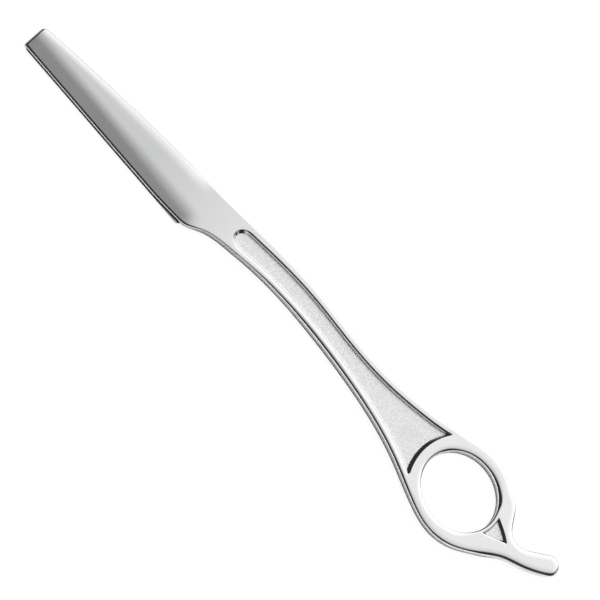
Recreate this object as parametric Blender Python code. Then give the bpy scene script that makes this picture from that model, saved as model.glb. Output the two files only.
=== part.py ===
# Finger-ring razor with a slide-in blade, lying on its back: bore axis along Z, blade end towards -X.
# Sizes are in millimetres and angles in degrees. Meshes are scaled to metres when they are made.
import math

import bmesh
import bpy
from mathutils import Vector
from mathutils.geometry import delaunay_2d_cdt, intersect_line_line

MM = 0.001

# Frame stock and its rounded edges
THICKNESS = 2.7
EDGE_ROUND = 0.5
RING_ROUND = 0.8
RING_ROUND_FADE = 24.0
LIP_ROUND = 0.3
LIP_ROUND_FADE = 5.0
LIP_ROUND_START = 1.0

# Finger ring; its outside is centred a little nearer the tang than its bore
BORE_RADIUS = 12.1
RING_WALL = 4.15
RING_SHIFT = 1.6

# Handle between the ring and the head. Heights are over the bore's axis, from the ring to the head,
# at shares of the handle's length.
HANDLE_LENGTH = 87.7
HANDLE_GAP = 7.9
BELLY_HEIGHTS = (-7.9, -1.55, 1.85, 3.0, 2.25, 0.5)
BELLY_SHARES = (0.0, 0.228, 0.456, 0.66, 0.80, 0.92)
SPINE_HEIGHTS = (11.65, 10.0, 12.05, 13.2)
SPINE_SHARES = (0.0, 0.205, 0.456, 0.65)

# Tang behind the ring: stations past the ring and heights, along its underside and back over its top
TANG_LENGTH = 19.3
TANG_END_ROUND = 3.3
TANG_END_HEIGHT = 3.7
TANG_UNDER_STATIONS = (0.9, 5.9, 10.9)
TANG_UNDER_HEIGHTS = (-8.7, -5.25, -3.2)
TANG_OVER_STATIONS = (12.1, 5.9, 2.15, -0.9)
TANG_OVER_HEIGHTS = (5.0, 1.6, 3.45, 8.7)

# Head
HEAD_WIDTH = 16.2
TIP_WIDTH = 8.7
TIP_ROUND = 1.6
TIP_CORNER = 0.5
EDGE_LENGTH = 66.4
EDGE_ANGLE = 4.5
HEEL_DROP = 3.66
HEEL_STATIONS = (14.0, 1.6, -1.6)
HEEL_RISES = (0.0, 0.55, 1.35)
SHOULDER_BACK = 2.0
SHOULDER_AHEAD = 15.0
SHOULDER_FALL = 1.0

# Ground slope along the cutting edge and the softer fall towards the spine
BEVEL_FLAT = 3.6
BEVEL_BLEND = 3.0
BEVEL_SLOPE = 0.18
BEVEL_RUNOUT = 4.0
BEVEL_FADE = 6.0
SPINE_FALL = 0.28
SPINE_FALL_WIDTH = 2.6
SPINE_FALL_FADE = 8.0

# Blasted recesses in both faces, sized at their mouths
RIM_SPINE = 1.95
RIM_BELLY = 1.25
RIM_RING = 3.3
RIM_NECK = 12.3
NECK_ROUND = 3.6
NECK_DROP = 0.3
RECESS_END_RADIUS = 20.5
RECESS_CORNER = 1.0
RECESS_DEPTH = 1.25
RECESS_RIM_ROUND = 0.4
RECESS_FOOT_ROUND = 1.1
RECESS_WALL_ANGLE = 75.0
UNDER_RECESS_DEPTH = 0.6
UNDER_FOOT_ROUND = 0.3
WEB_RIM = 0.95
WEB_REACH = 7.85
WEB_DROP = 1.5
WEB_ANGLES = (14.5, -23.5)
WEB_CORNER = 0.9

# Blade and its slot
CLEARANCE = 0.28
BLADE_LENGTH = 65.0
BLADE_WIDTH = 4.6
BLADE_THICKNESS = 0.22
BLADE_EXPOSURE = 0.3
BLADE_GRIND = 0.9
LEAST_GRIND = 0.2
BLADE_CORNER = 0.8
BLADE_HEEL = 0.7
SHARP_FLAT = 0.03
SLOT_RUNOUT = 8.0
SLOT_OVERRUN = 3.0

# Back plate, let into the underside
PLATE_THICKNESS = 0.32
PLATE_SETBACK = 0.5
PLATE_SPINE_INSET = 1.9
PLATE_HEEL = 2.4
PLATE_TIP_SETBACK = 0.8
PLATE_CORNER_ALONG = 5.4
PLATE_CORNER_ACROSS = 2.3
PLATE_STEPS = 12

# Rivets and pins
RIVET_STATIONS = (8.0, 32.0, 56.0)
RIVET_NAMES = ("rivet_heel", "rivet_middle", "rivet_tip")
RIVET_MARGIN = 1.7
RIVET_RADIUS = 0.6
RIVET_HEAD_RADIUS = 1.1
RIVET_LENGTH = 1.7
STOP_RADIUS = 0.6
STOP_OFFSET = 3.2
STOP_LENGTH = 1.75
BORE_END_GAP = 0.15

# Leaf spring above the blade
SPRING_LENGTH = 34.0
SPRING_WIDTH = 2.4
SPRING_THICKNESS = 0.2
SPRING_START = 7.0
SPRING_OFFSET = 3.7
SPRING_ROOT = 4.0
SPRING_BOW = 0.15
SPRING_PIN_RADIUS = 0.45
SPRING_PIN_LENGTH = 0.8
SPRING_STEPS = 12

# Fineness of the curves, and how far a cutter runs past what it cuts
LONGEST_STEP = 4.0
ANGLE_STEP = 11.0
ROUND_STEPS = 2
CIRCLE_SIDES = 20
SMOOTH_BELOW = 40.0
MERGE_DISTANCE = 0.001
CROWN_STEP = 4.6
CROWN_GAP = 0.6
CROWN_MARGIN = 0.45
CUT_OVERRUN = 2.0

ring_radius = BORE_RADIUS + RING_WALL
heel_x = -(HANDLE_LENGTH + BORE_RADIUS + HANDLE_GAP)
blade_low = PLATE_THICKNESS + CLEARANCE
blade_high = blade_low + BLADE_THICKNESS
slot_roof = blade_high + CLEARANCE
slot_back = BLADE_WIDTH - BLADE_EXPOSURE + CLEARANCE
edge_turn = math.radians(180.0 - EDGE_ANGLE)


# Plane curves

def direction(angle):
    return Vector((math.cos(math.radians(angle)), math.sin(math.radians(angle))))


def polar(radius, angle, centre=(0.0, 0.0)):
    return Vector(centre) + radius * direction(angle)


def head_point(u, v):
    # u runs from the heel along the cutting edge, v from the edge towards the spine.
    along = Vector((math.cos(edge_turn), math.sin(edge_turn)))
    across = Vector((math.sin(edge_turn), -math.cos(edge_turn)))
    return Vector((heel_x, -HEEL_DROP)) + u * along + v * across


def head_coordinates(point):
    along = Vector((math.cos(edge_turn), math.sin(edge_turn)))
    across = Vector((math.sin(edge_turn), -math.cos(edge_turn)))
    step = Vector(point) - Vector((heel_x, -HEEL_DROP))
    return step.dot(along), step.dot(across)


def flow(nodes):
    # Joins nodes (point, heading) by cubic curves that leave and arrive along the headings.
    points = [Vector(nodes[0][0])]
    for (start, start_angle), (end, end_angle) in zip(nodes, nodes[1:]):
        start, end = Vector(start), Vector(end)
        chord = end - start
        turn = (end_angle - start_angle + 180.0) % 360.0 - 180.0
        handle = chord.length / (3.0 * math.cos(math.radians(turn) / 4.0) ** 2)
        a = start + handle * direction(start_angle)
        b = end - handle * direction(end_angle)
        chord_angle = math.degrees(math.atan2(chord.y, chord.x))
        swing = sum(abs((angle - chord_angle + 180.0) % 360.0 - 180.0) for angle in (start_angle, end_angle))
        steps = max(math.ceil(chord.length / LONGEST_STEP), math.ceil(swing / ANGLE_STEP))
        for k in range(1, steps + 1):
            t = k / steps
            s = 1.0 - t
            points.append(s ** 3 * start + 3 * s * s * t * a + 3 * s * t * t * b + t ** 3 * end)
    return points


def heading_between(a, b):
    return math.degrees(math.atan2(b.y - a.y, b.x - a.x))


def trimmed(points, length):
    # Drops a length from the end of an open curve.
    points = list(points)
    while len(points) > 2 and (points[-1] - points[-2]).length <= length:
        length -= (points[-1] - points[-2]).length
        points.pop()
    back = points[-2] - points[-1]
    points[-1] = points[-1] + back * (length / back.length)
    return points


def joined(sides, setback):
    # Closes a loop of open curves, each corner rounded over its setback.
    cut = []
    for side in sides:
        side = trimmed(side, setback)
        cut.append(trimmed(side[::-1], setback)[::-1])
    loop = []
    for here, after in zip(cut, cut[1:] + cut[:1]):
        loop += here[:-1]
        corner = flow([(here[-1], heading_between(here[-2], here[-1])),
                       (after[0], heading_between(after[0], after[1]))])
        loop += corner[:-1]
    return loop


def offset_points(points, distances, closed=True):
    # Moves a curve to its right by its own distance at each point, with mitred corners.
    count = len(points)
    if not hasattr(distances, "__len__"):
        distances = [distances] * count
    moved = []
    for i, point in enumerate(points):
        before = point - points[i - 1] if closed or i > 0 else points[1] - point
        after = points[(i + 1) % count] - point if closed or i < count - 1 else before
        before, after = before.normalized(), after.normalized()
        right = Vector((before.y + after.y, -before.x - after.x)) / (1.0 + before.dot(after))
        moved.append(point + distances[i] * right)
    return folds_closed(points, moved) if closed else moved


def folds_closed(source, moved):
    # Where an inset turns edges round, their points gather in the corner that the next edges make.
    count = len(source)
    for _ in range(count):
        turned = [(moved[(i + 1) % count] - moved[i]).dot(source[(i + 1) % count] - source[i]) < 1e-7
                  for i in range(count)]
        changed = False
        for start in range(count):
            if not turned[start] or turned[start - 1]:
                continue
            end = start
            while turned[(end + 1) % count]:
                end += 1
            a, b = moved[start - 1], moved[start % count]
            c, d = moved[(end + 1) % count], moved[(end + 2) % count]
            crossing = intersect_line_line(a.to_3d(), b.to_3d(), c.to_3d(), d.to_3d())
            meet = crossing[0].to_2d()
            for k in range(start, end + 2):
                changed = changed or (moved[k % count] - meet).length > 1e-6
                moved[k % count] = meet
        if not changed:
            break
    return moved


def circle(radius, centre=(0.0, 0.0), sides=CIRCLE_SIDES):
    return [polar(radius, 360.0 * k / sides, centre) for k in range(sides)]


def up_to_circle(points, centre, radius):
    # The part of an open curve that stays outside a circle, ending on it.
    kept = [points[0]]
    for point in points[1:]:
        if (point - centre).length < radius:
            step = point - kept[-1]
            low, high = 0.0, 1.0
            for _ in range(30):
                middle = (low + high) / 2.0
                if (kept[-1] + middle * step - centre).length > radius:
                    low = middle
                else:
                    high = middle
            return kept + [kept[-1] + low * step]
        kept.append(point)
    return kept


# Outline of the frame, counter-clockwise from the tip along the cutting edge

def handle_x(share):
    return -(BORE_RADIUS + HANDLE_GAP) - share * HANDLE_LENGTH


def edge_nodes(shares, heights, headings):
    return [((handle_x(share), height), heading) for share, height, heading in zip(shares, heights, headings)]


def tang_side(stations, heights, headings):
    return [((ring_radius + station, height), heading)
            for station, height, heading in zip(stations, heights, headings)]


belly_nodes = edge_nodes(BELLY_SHARES, BELLY_HEIGHTS, (-24.5, -12.5, -7.0, 0.0, 7.0, 19.0))[::-1]

spine_nodes = edge_nodes(SPINE_SHARES, SPINE_HEIGHTS, (189.0, 180.0, 172.0, 180.0)) + [
    (head_point(-SHOULDER_BACK, HEAD_WIDTH), 180.0),
    (head_point(SHOULDER_AHEAD, HEAD_WIDTH - SHOULDER_FALL), 181.0),
    (head_point(EDGE_LENGTH - TIP_ROUND, TIP_WIDTH), 184.5),
]

heel_nodes = [(head_point(station, rise), heading)
              for station, rise, heading in zip(HEEL_STATIONS, HEEL_RISES, (-EDGE_ANGLE, 0.0, 25.0))]

ring_centre = (RING_SHIFT, 0.0)
tang_x = ring_radius + TANG_LENGTH
tang_nodes = [
    ((-0.56 * ring_radius, -0.81 * ring_radius), -25.0),
    (polar(ring_radius, -90.0, ring_centre), 0.0),
    (polar(ring_radius, -58.0, ring_centre), 32.0),
    *tang_side(TANG_UNDER_STATIONS, TANG_UNDER_HEIGHTS, (38.5, 25.0, 24.0)),
    ((tang_x - 0.8 * TANG_END_ROUND, TANG_END_HEIGHT - 1.08 * TANG_END_ROUND), 36.0),
    ((tang_x, TANG_END_HEIGHT), 90.0),
    ((tang_x - 0.9 * TANG_END_ROUND, TANG_END_HEIGHT + 1.1 * TANG_END_ROUND), 176.0),
    *tang_side(TANG_OVER_STATIONS, TANG_OVER_HEIGHTS, (215.0, 181.0, 124.0, 122.0)),
    (polar(ring_radius, 52.0), 142.0),
    (polar(ring_radius, 90.0), 180.0),
    ((-0.43 * ring_radius, 0.925 * ring_radius), 197.0),
]

tip_nodes = [
    (head_point(EDGE_LENGTH, TIP_WIDTH - TIP_ROUND), 270.0 - EDGE_ANGLE),
    (head_point(EDGE_LENGTH, TIP_CORNER), 270.0 - EDGE_ANGLE),
    (head_point(EDGE_LENGTH - TIP_CORNER, 0.0), -EDGE_ANGLE),
]


def frame_outline():
    nodes = [tip_nodes[-1]] + heel_nodes + belly_nodes + tang_nodes + spine_nodes + tip_nodes
    return flow(nodes)[:-1]


head_spine = [head_coordinates(point) for point in flow(spine_nodes[3:])]


def spine_reach(u):
    # Distance of the spine from the cutting edge line, at a station u of the head.
    for (u0, v0), (u1, v1) in zip(head_spine, head_spine[1:]):
        if u0 <= u <= u1:
            return v0 + (v1 - v0) * (u - u0) / (u1 - u0)
    return head_spine[-1][1]


# Top face

def eased(t):
    t = min(max(t, 0.0), 1.0)
    return t * t * (3.0 - 2.0 * t)


def slope_fall(distance, flat, blend, slope):
    # A fall of constant slope that fades out beyond its flat width.
    if distance < flat:
        return slope * (flat - distance + blend / 2.0)
    rest = max(flat + blend - distance, 0.0)
    return slope * rest * rest / (2.0 * blend)


def top_height(point):
    u, v = head_coordinates(point)
    if u < -BEVEL_RUNOUT:
        return THICKNESS
    ground = slope_fall(v, BEVEL_FLAT, BEVEL_BLEND, BEVEL_SLOPE)
    height = THICKNESS - ground * eased((u + BEVEL_RUNOUT) / BEVEL_FADE)
    back = spine_reach(u) - v
    if u > 0.0 and back < SPINE_FALL_WIDTH:
        fall = SPINE_FALL * (1.0 - max(back, 0.0) / SPINE_FALL_WIDTH) ** 2
        height -= fall * eased(u / SPINE_FALL_FADE)
    return height


def rim_round(point):
    # The rounding of the outer edge, fuller round the ring and finer round the head.
    u, _ = head_coordinates(point)
    ring = eased(1.0 + (point[0] + ring_radius) / RING_ROUND_FADE)
    head = eased(1.0 + (u + LIP_ROUND_START) / LIP_ROUND_FADE)
    return EDGE_ROUND + (RING_ROUND - EDGE_ROUND) * ring + (LIP_ROUND - EDGE_ROUND) * head


# Meshes

def new_object(name, mesh, material=None, parent=None, location=(0.0, 0.0, 0.0)):
    item = bpy.data.objects.new(name, mesh)
    bpy.context.scene.collection.objects.link(item)
    item.parent = parent
    item.location = [value * MM for value in location]
    if material is not None:
        mesh.materials.append(material)
    return item


def finished_mesh(bm, name):
    bmesh.ops.remove_doubles(bm, verts=bm.verts, dist=MERGE_DISTANCE)
    bmesh.ops.dissolve_degenerate(bm, edges=bm.edges, dist=MERGE_DISTANCE / 10.0)
    bmesh.ops.recalc_face_normals(bm, faces=bm.faces)
    bmesh.ops.scale(bm, vec=(MM, MM, MM), verts=bm.verts)
    mesh = bpy.data.meshes.new(name)
    bm.to_mesh(mesh)
    bm.free()
    mesh.shade_smooth()
    mesh.set_sharp_from_angle(angle=math.radians(SMOOTH_BELOW))
    return mesh


def loop_vertices(bm, points, heights):
    return [bm.verts.new((point[0], point[1], height)) for point, height in zip(points, heights)]


def skin(bm, loops):
    # Walls between loops of equal length.
    for lower, upper in zip(loops, loops[1:]):
        count = len(lower)
        for i in range(count):
            j = (i + 1) % count
            bm.faces.new((lower[i], lower[j], upper[j], upper[i]))


def is_inside(point, sides):
    inside = False
    for a, b in sides:
        if (a.y > point.y) != (b.y > point.y):
            if point.x < a.x + (point.y - a.y) * (b.x - a.x) / (b.y - a.y):
                inside = not inside
    return inside


def cap(bm, boundaries, inner_points=(), height=None):
    # Fills the area inside the first boundary and outside the others.
    vertices, edges = [], []
    for boundary in boundaries:
        kept = [v for v, w in zip(boundary, boundary[1:] + boundary[:1]) if (v.co - w.co).xy.length > 1e-5]
        first = len(vertices)
        vertices += kept
        edges += [(first + i, first + (i + 1) % len(kept)) for i in range(len(kept))]
    flat = [v.co.to_2d() for v in vertices] + [Vector(point) for point in inner_points]
    vertices += [bm.verts.new((point[0], point[1], height(point))) for point in inner_points]
    sides = [(flat[a], flat[b]) for a, b in edges]
    places, _, triangles, sources, _, _ = delaunay_2d_cdt(flat, edges, [], 1, 1e-6)
    for triangle in triangles:
        if is_inside(sum((places[k] for k in triangle), Vector((0.0, 0.0))) / 3.0, sides):
            bm.faces.new([vertices[sources[k][0]] for k in triangle])


def sheet(name, outer, holes, low, high):
    # A solid between two height functions, with straight or tapered holes.
    bm = bmesh.new()
    lower = [loop_vertices(bm, outer, [low(p) for p in outer])]
    upper = [loop_vertices(bm, outer, [high(p) for p in outer])]
    for bottom_loop, top_loop in holes:
        lower.append(loop_vertices(bm, bottom_loop, [low(p) for p in bottom_loop]))
        upper.append(loop_vertices(bm, top_loop, [high(p) for p in top_loop]))
    for bottom_loop, top_loop in zip(lower, upper):
        skin(bm, [bottom_loop, top_loop])
    cap(bm, lower)
    cap(bm, upper)
    return finished_mesh(bm, name)


def turned(name, profile, sides=CIRCLE_SIDES):
    # A solid of revolution about Z; the profile gives (radius, height) from the bottom up.
    bm = bmesh.new()
    loops = [loop_vertices(bm, circle(radius, sides=sides), [height] * sides) for radius, height in profile]
    skin(bm, loops)
    cap(bm, [loops[0]])
    cap(bm, [loops[-1]])
    return finished_mesh(bm, name)


def swept(name, sections):
    # A solid through sections of equal point count, closed by flat ends.
    bm = bmesh.new()
    loops = [[bm.verts.new(point) for point in section] for section in sections]
    skin(bm, loops)
    bm.faces.new(loops[0])
    bm.faces.new(loops[-1])
    return finished_mesh(bm, name)


def cut(target, cutter):
    cutter.hide_render = True
    cutter.display_type = "WIRE"
    modifier = target.modifiers.new(cutter.name, "BOOLEAN")
    modifier.operation = "DIFFERENCE"
    modifier.object = cutter


def steel(name, colour, roughness):
    material = bpy.data.materials.new(name)
    material.use_nodes = True
    shader = material.node_tree.nodes["Principled BSDF"]
    shader.inputs["Base Color"].default_value = (*colour, 1.0)
    shader.inputs["Metallic"].default_value = 1.0
    shader.inputs["Roughness"].default_value = roughness
    return material


# Frame

def recess_mouth():
    # The long recess: beside both edges of the handle, round at the neck, an arc by the ring.
    middle_x = RECESS_END_RADIUS - BORE_RADIUS - RIM_RING
    centre = Vector((middle_x, 0.0))
    belly = flow(belly_nodes[1:] + tang_nodes[:1])
    spine = flow([tang_nodes[-1]] + spine_nodes[:5])[::-1]
    low = up_to_circle(offset_points(belly, -RIM_BELLY, closed=False), centre, RECESS_END_RADIUS)
    high = up_to_circle(offset_points(spine, RIM_SPINE, closed=False), centre, RECESS_END_RADIUS)
    neck_x = heel_x + RIM_NECK
    low = [point for point in low if point.x > neck_x + NECK_ROUND]
    high = [point for point in high if point.x > neck_x + NECK_ROUND]
    first, last = [math.degrees(math.atan2(side[-1].y, side[-1].x - middle_x)) % 360.0 for side in (low, high)]
    steps = math.ceil((first - last) / ANGLE_STEP)
    arc = [polar(RECESS_END_RADIUS, first + (last - first) * k / steps, centre) for k in range(steps + 1)]
    nose = flow([(high[0], heading_between(high[1], high[0])),
                 ((neck_x, (low[0].y + high[0].y) / 2.0 - NECK_DROP), 270.0),
                 (low[0], heading_between(low[0], low[1]))])
    return joined([nose[:-1] + low, arc, high[::-1]], RECESS_CORNER)


def web_mouth():
    # The three-sided recess between the ring and the tang.
    near = BORE_RADIUS + WEB_RIM
    first, last = WEB_ANGLES
    steps = math.ceil((first - last) / ANGLE_STEP)
    arc = [polar(near, first + (last - first) * k / steps) for k in range(steps + 1)]
    far = Vector((BORE_RADIUS + WEB_REACH, -WEB_DROP))
    lower = flow([(arc[-1], 22.0), (far, 25.0)])
    upper = flow([(far, 137.0), (arc[0], 155.0)])
    return joined([arc, lower, upper], WEB_CORNER)


def arc_steps(last):
    return [math.radians(last * k / ROUND_STEPS) for k in range(ROUND_STEPS + 1)]


def rim_loops(bm, points, rounds, side, face, sign):
    # Loops from a face over a rounded edge to the wall. side is 1 where the material lies inside.
    loops = []
    for angle in arc_steps(90.0):
        inset, drop = 1.0 - math.sin(angle), 1.0 - math.cos(angle)
        moved = offset_points(points, [-side * inset * r for r in rounds])
        loops.append(loop_vertices(bm, moved, [face(p) - sign * drop * r for p, r in zip(moved, rounds)]))
    return loops


def recess_profile(depth, foot):
    # (inset, depth) pairs from the mouth over the rim, down the leaning wall and round into the floor.
    wall = math.radians(RECESS_WALL_ANGLE)
    straight = depth - (RECESS_RIM_ROUND + foot) * (1.0 - math.cos(wall))
    width = (RECESS_RIM_ROUND + foot) * math.sin(wall) + straight / math.tan(wall)
    angles = arc_steps(RECESS_WALL_ANGLE)
    rim = [(RECESS_RIM_ROUND * math.sin(a), RECESS_RIM_ROUND * (1.0 - math.cos(a))) for a in angles]
    floor = [(width - foot * math.sin(a), depth - foot * (1.0 - math.cos(a))) for a in reversed(angles)]
    return rim + floor


def recess_walls(bm, mouth, face, sign, depth, foot):
    # A recess down to its floor. Returns its mouth loop.
    loops = []
    for inset, drop in recess_profile(depth, foot):
        moved = offset_points(mouth, -inset)
        loops.append(loop_vertices(bm, moved, [face(p) - sign * drop for p in moved]))
    skin(bm, loops)
    cap(bm, [loops[-1]])
    return loops[0]


def crown_points(boundary):
    # Points across the head that carry the ground slope and the fall towards the spine.
    points = []
    stations = [-BEVEL_RUNOUT + BEVEL_FADE * share for share in (-0.15, 0.15, 0.5, 0.85, 1.15)]
    while stations[-1] + CROWN_STEP < EDGE_LENGTH:
        stations.append(stations[-1] + CROWN_STEP)
    for u in stations:
        back = spine_reach(u)
        rows = [share * BEVEL_FLAT for share in (0.25, 0.6, 1.0)]
        rows += [BEVEL_FLAT + BEVEL_BLEND / 2.0, BEVEL_FLAT + BEVEL_BLEND]
        rows += [back - share * SPINE_FALL_WIDTH for share in (1.4, 1.0, 0.5)]
        last = -1.0
        for v in sorted(rows):
            point = head_point(u, v)
            if v - last > CROWN_GAP and clear_of(point, boundary, CROWN_MARGIN):
                points.append(point)
                last = v
    return points


def clear_of(point, boundary, margin):
    sides = list(zip(boundary, boundary[1:] + boundary[:1]))
    for a, b in sides:
        side = b - a
        share = min(max((point - a).dot(side) / side.length_squared, 0.0), 1.0)
        if (point - (a + share * side)).length < margin:
            return False
    return is_inside(point, sides)


def frame_mesh():
    bm = bmesh.new()
    outline = frame_outline()
    rounds = [rim_round(point) for point in outline]
    bore = circle(BORE_RADIUS, sides=2 * CIRCLE_SIDES)
    bore_rounds = [RING_ROUND] * len(bore)

    def underside(_):
        return 0.0

    top = rim_loops(bm, outline, rounds, 1, top_height, 1)
    bottom = rim_loops(bm, outline, rounds, 1, underside, -1)
    skin(bm, top + bottom[::-1])
    bore_top = rim_loops(bm, bore, bore_rounds, -1, top_height, 1)
    bore_bottom = rim_loops(bm, bore, bore_rounds, -1, underside, -1)
    skin(bm, bore_top + bore_bottom[::-1])
    mouths = [recess_walls(bm, mouth, top_height, 1, RECESS_DEPTH, RECESS_FOOT_ROUND)
              for mouth in (recess_mouth(), web_mouth())]
    flat_edge = [v.co.to_2d() for v in top[0]]
    cap(bm, [top[0], bore_top[0]] + mouths, crown_points(flat_edge), top_height)
    mouths = [recess_walls(bm, mouth, underside, -1, UNDER_RECESS_DEPTH, UNDER_FOOT_ROUND)
              for mouth in (recess_mouth(), web_mouth())]
    cap(bm, [bottom[0], bore_bottom[0]] + mouths)
    return finished_mesh(bm, "frame")


# Head parts, in the head's own axes: x along the edge, y out across it, z up

def head_local(points):
    return [Vector((u, -v)) for u, v in points]


def plate_outline(grow=0.0):
    # Counter-clockwise from the tip's front corner; the heel's front corner is cut off.
    heel, tip = -PLATE_HEEL - grow, EDGE_LENGTH - PLATE_TIP_SETBACK + grow
    stations = [heel + (tip - heel) * k / PLATE_STEPS for k in range(PLATE_STEPS + 1)]
    back = [(u, spine_reach(u) - PLATE_SPINE_INSET + grow) for u in stations]
    corner = [(heel + PLATE_CORNER_ALONG, PLATE_SETBACK), (heel, PLATE_SETBACK + PLATE_CORNER_ACROSS)]
    return head_local(corner + back + [(tip, PLATE_SETBACK)])[::-1]


def seat_outline():
    # The plate's outline with its clearance, run out past the tip and the cutting edge.
    back = plate_outline(CLEARANCE)[1:-2]
    tip = EDGE_LENGTH + CUT_OVERRUN
    past = [Vector((back[-1].x, CUT_OVERRUN)), Vector((tip, CUT_OVERRUN)), Vector((tip, back[0].y))]
    return back + past


def rivet_place(u):
    return (u, -(spine_reach(u) - PLATE_SPINE_INSET - RIVET_MARGIN))


def stop_place():
    return (BLADE_HEEL - CLEARANCE - STOP_RADIUS, -STOP_OFFSET)


def spring_pin_place():
    return (SPRING_START + SPRING_ROOT / 2.0, -SPRING_OFFSET)


def head_axes(shift):
    axes = bpy.data.objects.new("head_axes", None)
    bpy.context.scene.collection.objects.link(axes)
    heel = head_point(0.0, 0.0) + shift
    axes.location = (heel.x * MM, heel.y * MM, 0.0)
    axes.rotation_euler = (0.0, 0.0, edge_turn)
    return axes


def level(height):
    return lambda _: height


def make_plate(axes, material):
    holes = []
    for place in [rivet_place(u) for u in RIVET_STATIONS]:
        wide = circle(RIVET_HEAD_RADIUS + CLEARANCE, place)
        holes.append((wide, circle(RIVET_RADIUS + CLEARANCE, place)))
    stop_hole = circle(STOP_RADIUS + CLEARANCE, stop_place())
    holes.append((stop_hole, stop_hole))
    mesh = sheet("back_plate", plate_outline(), holes, level(0.0), level(PLATE_THICKNESS))
    return new_object("back_plate", mesh, material, axes)


def make_pin(name, profile, place, axes, material, low=0.0):
    return new_object(name, turned(name, profile), material, axes, (place[0], place[1], low))


def make_rivets(axes, material):
    profile = [(RIVET_HEAD_RADIUS, 0.0), (RIVET_RADIUS, PLATE_THICKNESS), (RIVET_RADIUS, RIVET_LENGTH)]
    for name, u in zip(RIVET_NAMES, RIVET_STATIONS):
        make_pin(name, profile, rivet_place(u), axes, material)


def make_blade(axes, material):
    sections = []
    middle = BLADE_THICKNESS / 2.0
    for u, back_off in ((0.0, BLADE_CORNER), (BLADE_CORNER, 0.0),
                        (BLADE_LENGTH - BLADE_CORNER, 0.0), (BLADE_LENGTH, BLADE_CORNER)):
        sharp = -back_off
        ground = min(-BLADE_GRIND, sharp - LEAST_GRIND)
        sections.append([
            (u, sharp, middle - SHARP_FLAT / 2.0),
            (u, sharp, middle + SHARP_FLAT / 2.0),
            (u, ground, BLADE_THICKNESS),
            (u, -BLADE_WIDTH, BLADE_THICKNESS),
            (u, -BLADE_WIDTH, 0.0),
            (u, ground, 0.0),
        ])
    place = (BLADE_HEEL, BLADE_EXPOSURE, blade_low)
    return new_object("blade", swept("blade", sections), material, axes, place)


def make_spring(axes, material):
    root_low = slot_roof + SPRING_BOW
    half = SPRING_WIDTH / 2.0
    start, end = SPRING_START, SPRING_START + SPRING_LENGTH
    stations = [start, start + SPRING_ROOT]
    free = end - stations[-1]
    stations += [stations[-1] + free * k / SPRING_STEPS for k in range(1, SPRING_STEPS + 1)]
    near = [Vector((u, half - SPRING_OFFSET)) for u in stations]
    far = [Vector((u, -half - SPRING_OFFSET)) for u in stations]

    def low(point):
        share = max(point[0] - start - SPRING_ROOT, 0.0) / free
        return root_low - SPRING_BOW * math.sin(math.pi * share)

    def high(point):
        return low(point) + SPRING_THICKNESS

    hole = circle(SPRING_PIN_RADIUS + CLEARANCE, spring_pin_place())
    mesh = sheet("leaf_spring", far + near[::-1], [(hole, hole)], low, high)
    return new_object("leaf_spring", mesh, material, axes)


def block(name, outline, low, high, axes):
    return new_object(name, sheet(name, outline, [], level(low), level(high)), parent=axes)


def cut_slot(frame, axes):
    # The blade slot, open at the tip and along the edge, with a ramp out to the underside at the heel.
    past_tip = EDGE_LENGTH + CUT_OVERRUN
    ramp_foot = -SLOT_OVERRUN - SLOT_RUNOUT * (1.0 + CUT_OVERRUN / slot_roof)
    profile = [(past_tip, -CUT_OVERRUN), (past_tip, slot_roof), (-SLOT_OVERRUN, slot_roof),
               (ramp_foot, -CUT_OVERRUN)]
    past_edge = HEEL_DROP + CUT_OVERRUN
    sections = [[(u, y, z) for u, z in profile] for y in (-slot_back, past_edge)]
    cut(frame, new_object("slot_cutter", swept("slot_cutter", sections), parent=axes))


def cut_pockets(frame, axes):
    cut(frame, block("plate_cutter", seat_outline(), -CUT_OVERRUN, PLATE_THICKNESS + CLEARANCE, axes))
    half = SPRING_WIDTH / 2.0 + CLEARANCE
    start, end = SPRING_START - CLEARANCE, SPRING_START + SPRING_LENGTH + CLEARANCE
    near, far = half - SPRING_OFFSET, -half - SPRING_OFFSET
    outline = [Vector(corner) for corner in ((start, far), (end, far), (end, near), (start, near))]
    roof = slot_roof + SPRING_BOW + SPRING_THICKNESS + CLEARANCE
    cut(frame, block("spring_cutter", outline, 0.0, roof, axes))


def cut_pin_bores(frame, axes):
    bores = [(name, rivet_place(u), RIVET_RADIUS, RIVET_LENGTH)
             for name, u in zip(RIVET_NAMES, RIVET_STATIONS)]
    bores.append(("stop_pin", stop_place(), STOP_RADIUS, STOP_LENGTH))
    bores.append(("spring_pin", spring_pin_place(), SPRING_PIN_RADIUS, slot_roof + SPRING_PIN_LENGTH))
    for name, place, radius, top in bores:
        outline = circle(radius + CLEARANCE, place)
        cut(frame, block(name + "_cutter", outline, 0.0, top + BORE_END_GAP, axes))


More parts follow.
